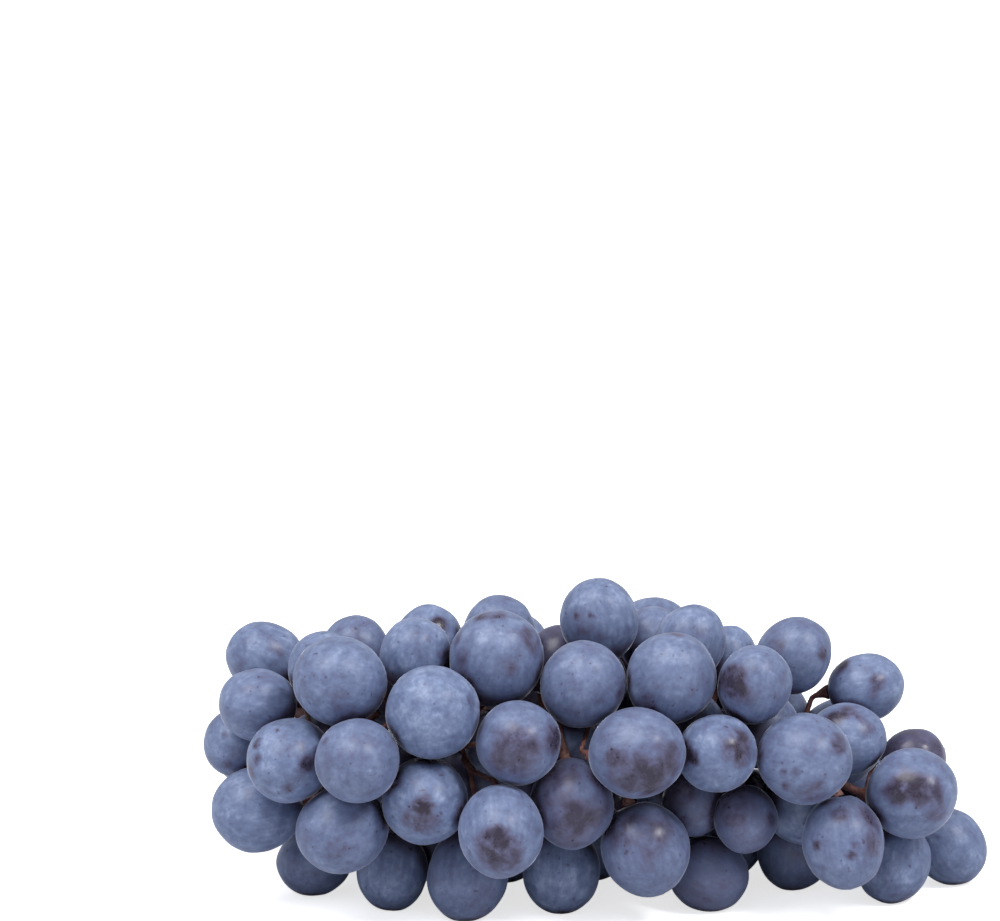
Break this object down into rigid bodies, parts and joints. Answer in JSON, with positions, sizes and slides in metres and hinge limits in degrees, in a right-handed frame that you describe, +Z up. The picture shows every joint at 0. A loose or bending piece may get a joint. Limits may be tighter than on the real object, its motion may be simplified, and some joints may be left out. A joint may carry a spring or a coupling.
{
  "type": "bunch of grapes",
  "caption": "Bunch of dark blue table grapes with a waxy bloom, on one branching stem, lying on its side as picked.",
  "frame": {"origin": "on the surface that the bunch lies on, under the middle of its box", "axes": "+Z up, +X along the bunch from its wide stem end to its tip, +Y towards its far side, where the cut stem end lies"},
  "size_m": [0.2008, 0.1196, 0.0828],
  "materials": {
    "berry_skin": "smooth dark blue-black skin under a pale blue waxy bloom, rubbed through to a reddish purple sheen where berries touched",
    "stem": "pinkish brown fresh stem, finely ribbed, with browned cut end and warty discs under the berries"
  },
  "bodies": {
    "root": {"berry_01": "berry_skin", "berry_02": "berry_skin", "berry_03": "berry_skin", "berry_04": "berry_skin", "berry_05": "berry_skin", "berry_06": "berry_skin", "berry_07": "berry_skin", "berry_08": "berry_skin", "berry_09": "berry_skin", "berry_10": "berry_skin", "berry_11": "berry_skin", "berry_12": "berry_skin", "berry_13": "berry_skin", "berry_14": "berry_skin", "berry_15": "berry_skin", "berry_16": "berry_skin", "berry_17": "berry_skin", "berry_18": "berry_skin", "berry_19": "berry_skin", "berry_20": "berry_skin", "berry_21": "berry_skin", "berry_22": "berry_skin", "berry_23": "berry_skin", "berry_24": "berry_skin", "berry_25": "berry_skin", "berry_26": "berry_skin", "berry_27": "berry_skin", "berry_28": "berry_skin", "berry_29": "berry_skin", "berry_30": "berry_skin", "berry_31": "berry_skin", "berry_32": "berry_skin", "berry_33": "berry_skin", "berry_34": "berry_skin", "berry_35": "berry_skin", "berry_36": "berry_skin", "berry_37": "berry_skin", "berry_38": "berry_skin", "berry_39": "berry_skin", "berry_40": "berry_skin", "berry_41": "berry_skin", "berry_42": "berry_skin", "berry_43": "berry_skin", "berry_group_01": "berry_skin", "berry_group_02": "berry_skin", "berry_group_03": "berry_skin", "berry_group_04": "berry_skin", "berry_group_05": "berry_skin", "berry_group_06": "berry_skin", "berry_group_07": "berry_skin", "berry_group_08": "berry_skin", "berry_group_09": "berry_skin", "berry_group_10": "berry_skin", "berry_group_11": "berry_skin", "berry_group_12": "berry_skin", "berry_group_13": "berry_skin", "berry_group_14": "berry_skin", "stem": "stem"}
  },
  "joints": []
}
